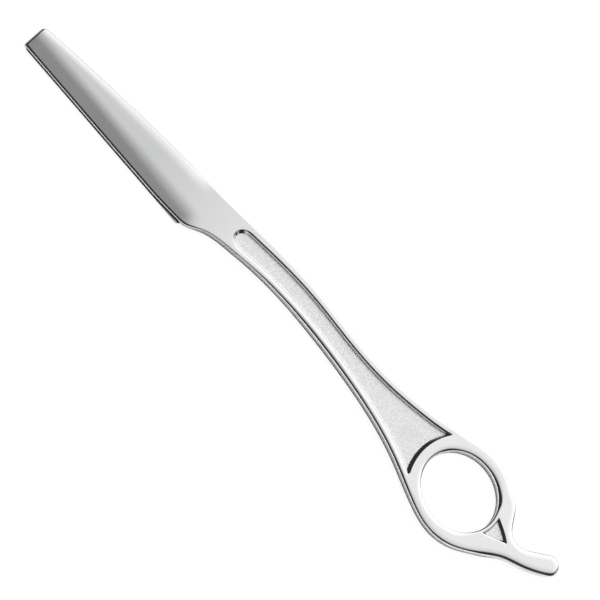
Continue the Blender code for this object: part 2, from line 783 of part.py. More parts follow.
def build():
    for item in list(bpy.data.objects):
        bpy.data.objects.remove(item, do_unlink=True)
    polished = steel("polished_steel", (0.78, 0.78, 0.79), 0.12)
    ground = steel("blade_steel", (0.70, 0.71, 0.73), 0.2)
    sheet_steel = steel("plate_steel", (0.72, 0.72, 0.73), 0.3)
    pin_steel = steel("pin_steel", (0.66, 0.66, 0.67), 0.28)
    spring_steel = steel("spring_steel", (0.50, 0.50, 0.52), 0.35)

    outline = frame_outline()
    middle_x = (min(p.x for p in outline) + max(p.x for p in outline)) / 2.0
    middle_y = (min(p.y for p in outline) + max(p.y for p in outline)) / 2.0
    shift = Vector((-middle_x, -middle_y))
    frame = new_object("frame", frame_mesh(), polished, location=(shift.x, shift.y, 0.0))
    axes = head_axes(shift)
    cut_slot(frame, axes)
    cut_pockets(frame, axes)
    cut_pin_bores(frame, axes)

    make_plate(axes, sheet_steel)
    make_rivets(axes, pin_steel)
    make_blade(axes, ground)
    make_spring(axes, spring_steel)
    stop_profile = [(STOP_RADIUS, 0.0), (STOP_RADIUS, STOP_LENGTH)]
    make_pin("stop_pin", stop_profile, stop_place(), axes, pin_steel)
    pin_profile = [(SPRING_PIN_RADIUS, 0.0), (SPRING_PIN_RADIUS, SPRING_PIN_LENGTH)]
    make_pin("spring_pin", pin_profile, spring_pin_place(), axes, pin_steel, slot_roof)


build()
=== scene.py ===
import math

import bmesh
import bpy
from mathutils import Matrix, Vector
from mathutils.geometry import delaunay_2d_cdt, intersect_line_line_2d


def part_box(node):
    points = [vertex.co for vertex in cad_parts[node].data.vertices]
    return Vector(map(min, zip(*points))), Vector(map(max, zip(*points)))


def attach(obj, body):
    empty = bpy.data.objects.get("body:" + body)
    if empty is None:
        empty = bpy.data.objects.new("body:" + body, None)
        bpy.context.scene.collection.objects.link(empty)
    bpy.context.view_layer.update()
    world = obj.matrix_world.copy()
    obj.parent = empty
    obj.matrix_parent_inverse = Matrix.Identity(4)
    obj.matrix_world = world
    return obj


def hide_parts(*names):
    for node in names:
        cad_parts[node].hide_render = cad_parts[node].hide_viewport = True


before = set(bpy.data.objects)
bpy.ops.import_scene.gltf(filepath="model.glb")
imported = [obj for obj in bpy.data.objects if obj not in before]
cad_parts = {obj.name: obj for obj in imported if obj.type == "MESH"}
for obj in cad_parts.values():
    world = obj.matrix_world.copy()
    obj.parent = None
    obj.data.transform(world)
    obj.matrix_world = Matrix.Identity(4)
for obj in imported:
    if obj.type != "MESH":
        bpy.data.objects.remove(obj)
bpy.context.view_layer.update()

# Finger-ring razor with a slide-in blade, lying on a white table and seen from its cutting edge.
# Lengths are in millimetres and angles in degrees. X runs from the blade end to the tang and Y from
# the cutting edge to the spine, with the ring's bore at zero until the shapes are set on the frame.

mm = 0.001
scene = bpy.context.scene

fineness = {
    "longestStep": 1.1,     # along the outlines
    "angleStep": 4.0,       # in their curves
    "arcSplit": 2,          # arcs round the bore are this many times finer
    "roundSteps": 7,        # over a rounded edge
    "crownStops": (0.0, 0.25, 0.5, 0.75),   # over the gentle fall before it
    "circleSides": 64,
    "boreSides": 180,
    "crownStep": 0.8,       # between stations of the head's ground face
    "crownAcross": 0.5,     # between its rows, as a share of that
    "crownGap": 0.25,       # before the rows of the spine's fall, the same way
    "fallRows": 8,
    "crownMargin": 0.28,    # kept clear of the face's edges
    "crownReach": 3.0,      # how far along the head those edges are looked for
    "halvings": 30,         # in the search for the place where a curve meets a circle
    "wallEasing": 8,
    "foldReach": 48,        # edges that one fold may take up
    "samePlace": 1e-6,
    "shortEdge": 1e-5,      # shorter edges don't bound a face
    "weld": 0.0005,
    "thinnest": 0.0001,
    "smoothBelow": 38.0,    # edges sharper than this stay crisp
    "flatWeight": 90,       # above 50 the large faces lead the shading
}


# Curves in the plane

def direction(angle):
    return Vector((math.cos(math.radians(angle)), math.sin(math.radians(angle))))


def polar(radius, angle, centre=(0.0, 0.0)):
    return Vector(centre) + radius * direction(angle)


def turnBetween(first, last):
    # the shorter way round from one heading to another
    return (last - first + 180.0) % 360.0 - 180.0


def flow(nodes):
    # cubic curves through (point, heading) nodes
    points = [Vector(nodes[0][0])]
    for (start, startAngle), (end, endAngle) in zip(nodes, nodes[1:]):
        start, end = Vector(start), Vector(end)
        chord = end - start
        turn = turnBetween(startAngle, endAngle)
        handle = chord.length / (3.0 * math.cos(math.radians(turn) / 4.0) ** 2)
        a = start + handle * direction(startAngle)
        b = end - handle * direction(endAngle)
        chordAngle = math.degrees(math.atan2(chord.y, chord.x))
        swing = sum(abs(turnBetween(chordAngle, angle)) for angle in (startAngle, endAngle))
        steps = max(math.ceil(chord.length / fineness["longestStep"]),
                    math.ceil(swing / fineness["angleStep"]))
        for k in range(1, steps + 1):
            t = k / steps
            s = 1.0 - t
            points.append(s ** 3 * start + 3 * s * s * t * a + 3 * s * t * t * b + t ** 3 * end)
    return points


def headingBetween(a, b):
    return math.degrees(math.atan2(b.y - a.y, b.x - a.x))


def trimmed(points, length):
    # drops a length from the end of an open curve
    points = list(points)
    while len(points) > 2 and (points[-1] - points[-2]).length <= length:
        length -= (points[-1] - points[-2]).length
        points.pop()
    back = points[-2] - points[-1]
    points[-1] = points[-1] + back * (length / back.length)
    return points


def roundPairs(items):
    # each with the next, all the way round
    return zip(items, items[1:] + items[:1])


def joined(sides, setbacks):
    # closes a loop of open curves with rounded corners; each setback is that of the corner
    # after its side
    parts = [trimmed(trimmed(side, setbacks[k])[::-1], setbacks[k - 1])[::-1]
             for k, side in enumerate(sides)]
    loop = []
    for here, after in roundPairs(parts):
        corner = flow([(here[-1], headingBetween(here[-2], here[-1])),
                       (after[0], headingBetween(after[0], after[1]))])
        loop += here[:-1] + corner[:-1]
    return loop


def offsetPoints(points, distances, closed=True):
    # moves a curve to its right
    count = len(points)
    if not hasattr(distances, "__len__"):
        distances = [distances] * count
    moved = []
    for i, point in enumerate(points):
        before = point - points[i - 1] if closed or i > 0 else points[1] - point
        after = points[(i + 1) % count] - point if closed or i < count - 1 else before
        before, after = before.normalized(), after.normalized()
        right = Vector((before.y + after.y, -before.x - after.x)) / (1.0 + before.dot(after))
        moved.append(point + distances[i] * right)
    return foldsClosed(moved) if closed else moved


def foldsClosed(points):
    # where an inset curve crosses itself, the points of the fold gather at the crossing
    count, start = len(points), 0
    reach = min(fineness["foldReach"], count - 2)
    while start < count:
        around = [points[k % count] for k in range(start, start + reach + 2)]
        span, meet = ownCrossing(around)
        for k in range(start + 1, start + span + 1):
            points[k % count] = meet
        start += max(span, 1)
    return points


def ownCrossing(points):
    # how far along a curve its first edge is crossed again, and where
    a, b = points[:2]
    if (a - b).length > fineness["samePlace"]:
        for span in range(len(points) - 2, 1, -1):
            c, d = points[span:span + 2]
            meet = intersect_line_line_2d(a, b, c, d) if (c - d).length > fineness["samePlace"] else None
            if meet:
                return span, meet
    return 0, None


def circle(radius, centre=(0.0, 0.0), sides=fineness["circleSides"]):
    return [polar(radius, 360.0 * k / sides, centre) for k in range(sides)]


def upToCircle(points, centre, radius):
    # the part of an open curve that stays outside a circle
    kept = [points[0]]
    for point in points[1:]:
        if (point - centre).length < radius:
            step = point - kept[-1]
            low, high = 0.0, 1.0
            for _ in range(fineness["halvings"]):
                middle = (low + high) / 2.0
                if (kept[-1] + middle * step - centre).length > radius:
                    low = middle
                else:
                    high = middle
            return kept + [kept[-1] + low * step]
        kept.append(point)
    return kept


def isInside(point, sides):
    inside = False
    for a, b in sides:
        if (a.y > point.y) != (b.y > point.y):
            if point.x < a.x + (point.y - a.y) * (b.x - a.x) / (b.y - a.y):
                inside = not inside
    return inside


def eased(t):
    t = min(max(t, 0.0), 1.0)
    return t * t * (3.0 - 2.0 * t)


def always(value):
    # the same height, radius or fall at every point
    return lambda _: value


# Finishes

class Wire:
    # a node's output that takes part in sums; every sum adds its Math node
    def __init__(self, shader, socket):
        self.shader = shader
        self.socket = socket

    def maths(self, operation, first, second):
        return self.shader.node("Math", {"operation": operation}, {0: first, 1: second})

    def __add__(self, other):
        return self.maths("ADD", self, other)

    def __radd__(self, other):
        return self.maths("ADD", other, self)

    def __sub__(self, other):
        return self.maths("SUBTRACT", self, other)

    def __rsub__(self, other):
        return self.maths("SUBTRACT", other, self)

    def __mul__(self, other):
        return self.maths("MULTIPLY", self, other)

    def __rmul__(self, other):
        return self.maths("MULTIPLY", other, self)

    def __truediv__(self, other):
        return self.maths("DIVIDE", self, other)

    def __rtruediv__(self, other):
        return self.maths("DIVIDE", other, self)

    def between(self, low, high):
        # 0 below low and 1 above high, with a soft step in the middle
        return self.shader.node("MapRange", {"interpolation_type": "SMOOTHSTEP"},
                                {"Value": self, "From Min": low, "From Max": high}, "Result")


class Shader:
    # one node tree, and the method that adds any node to it
    def __init__(self, tree):
        self.tree = tree
        tree.nodes.clear()

    def node(self, kind, settings=None, sockets=None, output=0):
        item = self.tree.nodes.new("ShaderNode" + kind)
        for name, value in (settings or {}).items():
            if name == "stops":
                self.setStops(item.color_ramp.elements, value)
            else:
                setattr(item, name, value)
        for name, value in (sockets or {}).items():
            if isinstance(value, Wire):
                self.tree.links.new(value.socket, item.inputs[name])
            else:
                item.inputs[name].default_value = value
        return Wire(self, item.outputs[output]) if item.outputs else None

    def setStops(self, elements, stops):
        # the greys of a ramp, which has an element at either end to begin with
        for place, _ in stops[1:-1]:
            elements.new(place)
        for element, (_, grey) in zip(elements, stops):
            element.color = (grey, grey, grey, 1.0)

    def noise(self, place, size, detail=2.0, roughness=0.5, stretch=(1.0, 1.0, 1.0), band=None):
        # noise over an object, with features a given number of millimetres long; where a band
        # of it is given, that is spread over 0 to 1
        scale = tuple(share / (size * mm) for share in stretch)
        spread = self.node("Mapping", {}, {"Vector": place, "Scale": scale})
        sockets = {"Vector": spread, "Scale": 1.0, "Detail": detail, "Roughness": roughness}
        level = self.node("TexNoise", {}, sockets, "Fac")
        return level.between(*band) if band else level

    def tint(self, factor, first, second):
        # a colour between two colours
        return self.node("Mix", {"data_type": "RGBA"}, {0: factor, 6: (*first, 1.0), 7: (*second, 1.0)}, 2)


finishes = {
    "polished": {
        # the tip's colour is painted shade, darker than the ring's steel
        "tip": (0.60, 0.603, 0.61),
        "ring": (0.83, 0.832, 0.838),
        "tipShadeReach": 0.064,      # metres from the part's middle to where the tip's painted shade is full
        "satinReach": 0.12,     # and to where its satin is
        "clouding": 0.1,
        "gloss": 0.085,
        "satin": 0.12,
        "haze": 0.05,
        "hairlines": 0.03,
        "crossLines": 0.015,
        "edgeWear": 0.05,
        "waviness": 0.000004,
        "lineRelief": 0.2,
    },
    "blasted": {"dark": (0.56, 0.565, 0.57), "light": (0.86, 0.86, 0.86), "metallic": 0.25,
                "gloss": 0.5, "spread": 0.14, "patches": 0.05, "depth": 0.00005,
                "coarseShare": 0.65, "grainBand": (0.30, 0.70)},
    # the drawn finishes have their lines along the axis with the small stretch
    "milled": {"dark": (0.58, 0.585, 0.59), "light": (0.70, 0.705, 0.71), "metallic": 1.0,
               "gloss": 0.26, "spread": 0.28, "depth": 0.00001, "stretch": (1.0, 0.05, 1.0)},
    "blade": {"dark": (0.52, 0.53, 0.55), "light": (0.66, 0.67, 0.69), "metallic": 0.6,
              "gloss": 0.24, "spread": 0.24, "depth": 0.000006, "stretch": (0.02, 1.0, 1.0)},
    "plate": {"dark": (0.60, 0.605, 0.615), "light": (0.74, 0.745, 0.75), "metallic": 1.0,
              "gloss": 0.24, "spread": 0.32, "depth": 0.000012, "stretch": (0.02, 1.0, 1.0)},
    "spring": {"dark": (0.30, 0.31, 0.34), "light": (0.46, 0.47, 0.50), "metallic": 1.0,
               "gloss": 0.30, "spread": 0.28, "depth": 0.00001, "stretch": (0.02, 1.0, 1.0)},
    "pin": {"dark": (0.56, 0.565, 0.575), "light": (0.72, 0.725, 0.73), "metallic": 1.0,
            "gloss": 0.22, "spread": 0.28, "depth": 0.00001, "stretch": (1.0, 1.0, 0.03)},
}

patterns = {
    "haze": {"size": 9.0, "detail": 3.0, "band": (0.42, 0.68)},
    "cloud": {"size": 22.0},
    "hairlines": {"size": 0.16, "roughness": 0.6, "stretch": (0.03, 1.0, 1.0), "band": (0.60, 0.80)},
    "crossLines": {"size": 0.12, "detail": 1.0, "stretch": (1.0, 0.05, 1.0), "band": (0.66, 0.84)},
    "rubbing": {"size": 1.4, "detail": 3.0, "band": (0.35, 0.75)},
    "waves": {"size": 2.6, "detail": 1.0},
    "coarsePits": {"size": 0.32, "roughness": 0.6},
    "finePits": {"size": 0.144, "detail": 1.0},
    "patches": {"size": 3.0},
    "drawnLines": {"size": 0.10, "detail": 3.0, "roughness": 0.6},
    "drawnHaze": {"size": 5.0, "detail": 3.0},
}

lineShare = 0.6     # of the lines in a drawn finish's colour; its haze has the rest


def newFinish(name):
    material = bpy.data.materials.new(name)
    material.use_nodes = True
    return material, Shader(material.node_tree)


def steelOutput(shader, colour, roughness, height, depth, metallic):
    # the metal itself: colour, gloss and relief come in, the surface goes out
    bump = shader.node("Bump", {}, {"Strength": 1.0, "Distance": depth, "Height": height})
    metal = shader.node("BsdfPrincipled", {}, {"Base Color": colour, "Metallic": metallic,
                                               "Roughness": roughness, "Normal": bump})
    shader.node("OutputMaterial", {}, {"Surface": metal})


def polishedSteel():
    # hand-polished, and ground to a satin towards the tip, where painted shade also darkens its colour:
    # hairlines along the length, finger haze, and edges worn a little softer
    look = finishes["polished"]
    material, shader = newFinish("polishedSteel")
    place = shader.node("TexCoord", output="Object")
    towardsTip = 0.0 - shader.node("SeparateXYZ", sockets={"Vector": place})
    satin = towardsTip.between(0.0, look["satinReach"])
    # painted shade: this mask darkens the colour towards the tip
    ground = towardsTip.between(0.0, look["tipShadeReach"])
    haze, cloud, hairlines, crossLines, rubbing, waves = [
        shader.noise(place, **patterns[name])
        for name in ("haze", "cloud", "hairlines", "crossLines", "rubbing", "waves")]
    worn = shader.node("Attribute", {"attribute_name": "wear"}, output="Fac")
    roughness = (look["gloss"] + look["satin"] * satin + look["haze"] * haze * cloud
                 + look["hairlines"] * hairlines + look["crossLines"] * crossLines
                 + look["edgeWear"] * (worn * rubbing))
    # the steel's colour, with painted shade darkening it towards the tip and random clouding
    colour = shader.tint(ground * (1.0 + look["clouding"]) - cloud * look["clouding"],
                         look["ring"], look["tip"])
    relief = waves * (1.0 - look["lineRelief"]) + hairlines * look["lineRelief"]
    steelOutput(shader, colour, roughness, relief, look["waviness"], 1.0)
    return material


def blastedSteel():
    # the recess floors: a fine, even pitting that sparkles
    look = finishes["blasted"]
    material, shader = newFinish("blastedSteel")
    place = shader.node("TexCoord", output="Object")
    coarse, fine, patches = [shader.noise(place, **patterns[name])
                             for name in ("coarsePits", "finePits", "patches")]
    grain = coarse * look["coarseShare"] + fine * (1.0 - look["coarseShare"])
    colour = shader.tint(grain.between(*look["grainBand"]), look["dark"], look["light"])
    roughness = look["gloss"] + look["spread"] * (1.0 - grain) + look["patches"] * patches
    steelOutput(shader, colour, roughness, grain, look["depth"], look["metallic"])
    return material


def drawnSteel(kind):
    # machine-finished steel with its lines along one axis
    look = finishes[kind]
    material, shader = newFinish(kind + "Steel")
    place = shader.node("TexCoord", output="Object")
    lines = shader.noise(place, **patterns["drawnLines"], stretch=look["stretch"])
    haze = shader.noise(place, **patterns["drawnHaze"])
    colour = shader.tint(lines * lineShare + haze * (1.0 - lineShare), look["dark"], look["light"])
    roughness = look["gloss"] + look["spread"] * lines * haze
    steelOutput(shader, colour, roughness, lines, look["depth"], look["metallic"])
    return material


# Meshes

def loopVertices(bm, points, heights, wear=0.0):
    layer = bm.verts.layers.float.get("wear") or bm.verts.layers.float.new("wear")
    loop = []
    for point, height in zip(points, heights):
        vertex = bm.verts.new((point[0], point[1], height))
        vertex[layer] = wear
        loop.append(vertex)
    return loop


def skin(bm, loops, polished=None):
    # strips of faces; where polished counts them, the strips after those are of the second finish
    for k, (lower, upper) in enumerate(zip(loops, loops[1:])):
        for i in range(len(lower)):
            j = (i + 1) % len(lower)
            face = bm.faces.new((lower[i], lower[j], upper[j], upper[i]))
            face.material_index = int(polished is not None and k >= polished[i])


def fill(bm, boundaries, innerPoints=(), height=None, slot=0):
    # faces inside the first boundary and outside the others
    vertices, edges = [], []
    for boundary in boundaries:
        kept = [v for v, w in roundPairs(boundary) if (v.co - w.co).xy.length > fineness["shortEdge"]]
        first = len(vertices)
        vertices += kept
        edges += [(first + i, first + (i + 1) % len(kept)) for i in range(len(kept))]
    flat = [v.co.to_2d() for v in vertices] + [Vector(point) for point in innerPoints]
    vertices += loopVertices(bm, innerPoints, [height(point) for point in innerPoints])
    sides = [(flat[a], flat[b]) for a, b in edges]
    insideOnly = 1      # which triangles to keep
    places, _, triangles, sources, _, _ = delaunay_2d_cdt(flat, edges, [], insideOnly, fineness["samePlace"])
    for triangle in triangles:
        if isInside(sum((places[k] for k in triangle), Vector((0.0, 0.0))) / 3.0, sides):
            face = bm.faces.new([vertices[sources[k][0]] for k in triangle])
            face.material_index = slot


def finishedMesh(bm, move):
    # welds the mesh, sets it on the frame and scales it to metres
    bmesh.ops.remove_doubles(bm, verts=bm.verts, dist=fineness["weld"])
    bmesh.ops.dissolve_degenerate(bm, edges=bm.edges, dist=fineness["thinnest"])
    bmesh.ops.recalc_face_normals(bm, faces=bm.faces)
    bmesh.ops.transform(bm, matrix=Matrix.Scale(mm, 4) @ move, verts=bm.verts)
    mesh = bpy.data.meshes.new("steel")
    bm.to_mesh(mesh)
    bm.free()
    return mesh


def placed(name, data):
    item = bpy.data.objects.new(name, data)
    scene.collection.objects.link(item)
    return item


def newPiece(name, mesh, *materials):
    mesh.name = name
    for material in materials:
        mesh.materials.append(material)
    return placed(name, mesh)


def settled(piece):
    # smooth shading that keeps flat faces flat, after all cuts
    piece.data.shade_smooth()
    piece.data.set_sharp_from_angle(angle=math.radians(fineness["smoothBelow"]))
    weighted = piece.modifiers.new("flatFaces", "WEIGHTED_NORMAL")
    weighted.keep_sharp = True
    weighted.weight = fineness["flatWeight"]
    return piece


def carved(piece, cutters):
    # cuts all the cutters out of the piece and drops them
    for cutter in cutters:
        modifier = piece.modifiers.new(cutter.name, "BOOLEAN")
        modifier.operation = "DIFFERENCE"
        modifier.solver = "EXACT"
        modifier.use_hole_tolerant = True
        modifier.material_mode = "TRANSFER"
        modifier.object = cutter
    evaluated = piece.evaluated_get(bpy.context.evaluated_depsgraph_get())
    mesh = bpy.data.meshes.new_from_object(evaluated)
    piece.modifiers.clear()
    piece.data = mesh
    for cutter in cutters:
        bpy.data.objects.remove(cutter, do_unlink=True)
    return piece


def sheetMesh(outer, holes, low, high, move, softEdge=0.0):
    # a plate between two height functions, with straight or tapered holes; an outline that
    # runs clockwise can have a soft lower edge
    bm = bmesh.new()
    foot = offsetPoints(outer, softEdge) if softEdge else outer
    rim = [loopVertices(bm, outer, [low(point) + softEdge for point in outer])] if softEdge else []
    lower = [loopVertices(bm, foot, [low(point) for point in foot])]
    upper = [loopVertices(bm, outer, [high(point) for point in outer])]
    skin(bm, lower + rim + upper)
    for bottomLoop, topLoop in holes:
        lower.append(loopVertices(bm, bottomLoop, [low(point) for point in bottomLoop]))
        upper.append(loopVertices(bm, topLoop, [high(point) for point in topLoop]))
        skin(bm, [lower[-1], upper[-1]])
    fill(bm, lower)
    fill(bm, upper)
    return finishedMesh(bm, move)


def turnedMesh(profile, move):
    # a pin turned about its own axis; the profile gives (radius, height) from the bottom up
    bm = bmesh.new()
    sides = fineness["circleSides"]
    loops = [loopVertices(bm, circle(radius, sides=sides), [height] * sides) for radius, height in profile]
    skin(bm, loops)
    for end in (loops[0], loops[-1]):
        fill(bm, [end])
    return finishedMesh(bm, move)


def sweptMesh(sections, move):
    # the same outline at every section, with both ends closed
    bm = bmesh.new()
    loops = [[bm.verts.new(point) for point in section] for section in sections]
    skin(bm, loops)
    bm.faces.new(loops[0])
    bm.faces.new(loops[-1])
    return finishedMesh(bm, move)


# Outline of the frame

body = {
    "thickness": 2.7,
    "boreRadius": 12.0,
    "ringWall": 4.25,
    "ringShift": 1.6,       # of the ring's lower side, towards the tang
    "ringBelow": (-90.0, -58.0),    # where the outline follows the ring
    "ringAbove": (52.0, 90.0),
    # where the handle's edges meet it, in ring radii, and their headings there
    "bellyMeets": (-0.56, -0.81, -25.0),
    "spineMeets": (-0.43, 0.925, 197.0),
    "handleLength": 87.7,
    "handleGap": 7.9,
    # the handle's edges, by share of its length, height and heading
    "belly": ((0.0, -7.9, -24.5), (0.228, -1.55, -12.5), (0.456, 1.85, -7.0), (0.66, 3.0, 0.0),
              (0.80, 2.25, 7.0), (0.92, 0.5, 19.0)),
    "spine": ((0.0, 11.65, 189.0), (0.205, 10.0, 180.0), (0.456, 12.05, 172.0), (0.65, 13.2, 180.0)),
    # radii of the upper and lower edges along the body
    "edgeRounds": ((-104.0, 0.20, 1.00), (-88.0, 0.22, 1.05), (-76.0, 0.50, 0.90), (-60.0, 0.68, 0.60),
                   (-20.0, 0.60, 0.70), (0.0, 0.52, 1.05), (12.0, 0.62, 1.05), (19.0, 1.05, 0.80)),
    # and of the bore's upper edge, by the direction from its centre
    "boreRounds": ((0.0, 0.50), (17.0, 0.50), (36.0, 0.95), (66.0, 0.72), (95.0, 0.50), (122.0, 0.55),
                   (150.0, 0.80), (190.0, 0.85), (220.0, 0.85), (250.0, 0.75), (300.0, 0.75), (326.0, 0.50)),
    "boreUnder": 0.6,       # and of its lower edge
    "underFall": (1.70, 0.90),          # width and drop of the tang's rounder underside
    "underFallBlend": 5.0,
    "lipRound": 0.5,        # head edges
    "lipRoundFade": 5.0,
    "lipRoundStart": 1.0,
    "tipRound": 0.62,       # the head's end, run out along the cutting edge
    "tipRoundRunout": 4.0,
    "tipRoundSquash": 0.25,
    "crown": (0.4, 0.025),  # width and drop of the top's gentle fall before its rounded edges
    "crownRing": (1.2, 0.05),
    "crownHeadLoss": 0.9,   # the share of it that the head does without
    "ringCrownStart": -14.0,
    "ringCrownBlend": 8.0,
    "boreCrownEnd": 10.5,
    "boreCrownBlend": 4.0,
    "boreCrownLeast": 0.2,
}

tang = {
    "length": 19.3,
    "endRound": 3.3,
    "endHeight": 3.7,
    "endCurve": ((-0.8, -1.08, 36.0), (0.0, 0.0, 90.0), (-0.9, 1.1, 176.0)),   # in end rounds
    # its edges, by distance past the ring, height and heading
    "under": ((0.9, -8.7, 38.5), (5.9, -5.25, 25.0), (10.9, -3.2, 24.0)),
    "over": ((12.1, 5.0, 215.0), (5.9, 1.6, 181.0), (2.15, 3.45, 124.0), (-0.9, 8.7, 122.0)),
}

head = {
    "width": 16.2,
    "tipWidth": 8.7,
    "tipRound": 1.6,
    "tipCorner": 0.5,
    "edgeLength": 66.4,
    "edgeAngle": 4.5,
    "heelDrop": 3.66,
    "heelStart": 14.0,
    "heel": ((1.6, 0.55, 0.0), (-1.6, 1.35, 25.0)),
    "shoulderBack": 2.0,
    "shoulderAhead": 15.0,
    "shoulderFall": 1.0,
    "shoulderHeadings": (180.0, 181.0),
    "tipHeading": 184.5,
    "bevelFlat": 3.6,       # ground slope beside the cutting edge
    "bevelBlend": 3.0,
    "bevelSlope": 0.18,
    "bevelSoften": 1.3,
    "bevelSoftEnd": 45.0,
    "bevelRunout": 4.0,
    "bevelFade": 6.0,
    "spineFall": 0.28,      # softer fall towards the spine, wider near the heel
    "spineFallWidth": 2.6,
    "spineFallWiden": 1.6,
    "spineFallFade": 8.0,
    "tipFall": 0.24,        # and towards the tip
    "tipFallWidth": 3.6,
}

ringRadius = body["boreRadius"] + body["ringWall"]
heelX = -(body["handleLength"] + body["boreRadius"] + body["handleGap"])
edgeTurn = math.radians(180.0 - head["edgeAngle"])
edgeAlong = Vector((math.cos(edgeTurn), math.sin(edgeTurn)))
edgeAcross = Vector((math.sin(edgeTurn), -math.cos(edgeTurn)))
heelPoint = Vector((heelX, -head["heelDrop"]))


def headPoint(u, v):
    # u runs from the heel along the cutting edge, v from the edge towards the spine
    return heelPoint + u * edgeAlong + v * edgeAcross


def headPlace(point):
    step = Vector(point) - heelPoint
    return step.dot(edgeAlong), step.dot(edgeAcross)


def handleX(share):
    return -(body["boreRadius"] + body["handleGap"]) - share * body["handleLength"]


def handleNodes(side):
    return [((handleX(share), height), heading) for share, height, heading in body[side]]


def tangSide(side):
    return [((ringRadius + station, height), heading) for station, height, heading in tang[side]]


def ringNode(angle, centre=(0.0, 0.0)):
    return polar(ringRadius, angle, centre), angle + 90.0


def ringMeeting(side):
    x, y, heading = body[side + "Meets"]
    return (x * ringRadius, y * ringRadius), heading


bellyNodes = handleNodes("belly")[::-1]
spineNodes = handleNodes("spine") + [
    (headPoint(-head["shoulderBack"], head["width"]), head["shoulderHeadings"][0]),
    (headPoint(head["shoulderAhead"], head["width"] - head["shoulderFall"]), head["shoulderHeadings"][1]),
    (headPoint(head["edgeLength"] - head["tipRound"], head["tipWidth"]), head["tipHeading"]),
]
heelNodes = [(headPoint(head["heelStart"], 0.0), -head["edgeAngle"])] + [
    (headPoint(station, rise), heading) for station, rise, heading in head["heel"]]
ringCentre = (body["ringShift"], 0.0)
tangX = ringRadius + tang["length"]
tangNodes = [
    ringMeeting("belly"),
    *[ringNode(angle, ringCentre) for angle in body["ringBelow"]],
    *tangSide("under"),
    *[((tangX + x * tang["endRound"], tang["endHeight"] + y * tang["endRound"]), heading)
      for x, y, heading in tang["endCurve"]],
    *tangSide("over"),
    *[ringNode(angle) for angle in body["ringAbove"]],
    ringMeeting("spine"),
]
tipNodes = [
    (headPoint(head["edgeLength"], head["tipWidth"] - head["tipRound"]), 270.0 - head["edgeAngle"]),
    (headPoint(head["edgeLength"], head["tipCorner"]), 270.0 - head["edgeAngle"]),
    (headPoint(head["edgeLength"] - head["tipCorner"], 0.0), -head["edgeAngle"]),
]
outline = flow([tipNodes[-1]] + heelNodes + bellyNodes + tangNodes + spineNodes + tipNodes)[:-1]
headSpine = [headPlace(point) for point in flow(spineNodes[3:])]

# the outline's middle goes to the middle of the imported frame
frameLow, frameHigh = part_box("frame")
outlineMiddle = [(min(p[k] for p in outline) + max(p[k] for p in outline)) / 2.0 for k in range(2)]
frameShift = Vector([(frameLow[k] + frameHigh[k]) / 2.0 / mm - outlineMiddle[k] for k in range(2)])
onFrame = Matrix.Translation(frameShift.to_3d())
onHead = Matrix.Translation((heelPoint + frameShift).to_3d()) @ Matrix.Rotation(edgeTurn, 4, "Z")


def spineReach(u):
    # distance of the spine from the cutting edge at a station of the head
    for (u0, v0), (u1, v1) in zip(headSpine, headSpine[1:]):
        if u0 <= u <= u1:
            return v0 + (v1 - v0) * (u - u0) / (u1 - u0)
    return headSpine[-1][1]


def groundFall(distance, u):
    # a fall of constant slope that fades out beyond its flat width, sooner near the heel
    near = eased(1.0 - u / head["bevelSoftEnd"])
    flat = head["bevelFlat"] - head["bevelSoften"] * near
    blend = head["bevelBlend"] + head["bevelSoften"] * near
    slope = head["bevelSlope"]
    if distance < flat:
        return slope * (flat - distance + blend / 2.0)
    rest = max(flat + blend - distance, 0.0)
    return slope * rest * rest / (2.0 * blend)


def topHeight(point):
    u, v = headPlace(point)
    if u < -head["bevelRunout"]:
        return body["thickness"]
    height = body["thickness"] - groundFall(v, u) * eased((u + head["bevelRunout"]) / head["bevelFade"])
    back = spineReach(u) - v
    width = spineFallWidth(u)
    if u > 0.0 and back < width:
        fall = head["spineFall"] * (1.0 - max(back, 0.0) / width) ** 2
        height -= fall * eased(u / head["spineFallFade"])
    ahead = head["edgeLength"] - u
    height -= head["tipFall"] * max(1.0 - max(ahead, 0.0) / head["tipFallWidth"], 0.0) ** 2
    return height


def spineFallWidth(u):
    return head["spineFallWidth"] + head["spineFallWiden"] * eased(1.0 - u / head["edgeLength"])


underside = always(0.0)


def polarAngle(step):
    return math.degrees(math.atan2(step.y, step.x)) % 360.0


def among(place, table):
    # eases between the values that a table gives at rising places
    for (first, *here), (last, *after) in zip(table, table[1:]):
        if place < last:
            share = eased((place - first) / (last - first))
            return [a + (b - a) * share for a, b in zip(here, after)]
    return table[-1][1:]


def byAngle(angle, table):
    # the same for a table that starts at 0 and goes all the way round
    return among(angle, table + ((360.0, *table[0][1:]),))


def headShare(point):
    return eased(1.0 + (headPlace(point)[0] + body["lipRoundStart"]) / body["lipRoundFade"])


def rimRound(point):
    # the head's lip and end have radii of their own
    u, v = headPlace(point)
    fromEnd = Vector((head["edgeLength"] - u, body["tipRoundSquash"] * max(v, 0.0))).length
    end = eased(1.0 - fromEnd / body["tipRoundRunout"])
    base = among(point[0], body["edgeRounds"])[0]
    return base + (body["lipRound"] - base) * headShare(point) + (body["tipRound"] - body["lipRound"]) * end


def underRound(point):
    share = headShare(point)
    return among(point[0], body["edgeRounds"])[1] * (1.0 - share) + body["lipRound"] * share


def underCrown(point):
    share = eased((point[0] - ringRadius) / body["underFallBlend"])
    return [value * share for value in body["underFall"]]


def crownOf(point, share):
    # the gentle fall: widest round the ring, almost none on the head
    rest = 1.0 - body["crownHeadLoss"] * headShare(point)
    return [(plain + (ring - plain) * share) * rest for plain, ring in zip(body["crown"], body["crownRing"])]


def outerCrown(point):
    return crownOf(point, eased((point[0] - body["ringCrownStart"]) / body["ringCrownBlend"]))


def boreRound(point):
    return byAngle(polarAngle(point), body["boreRounds"])[0]


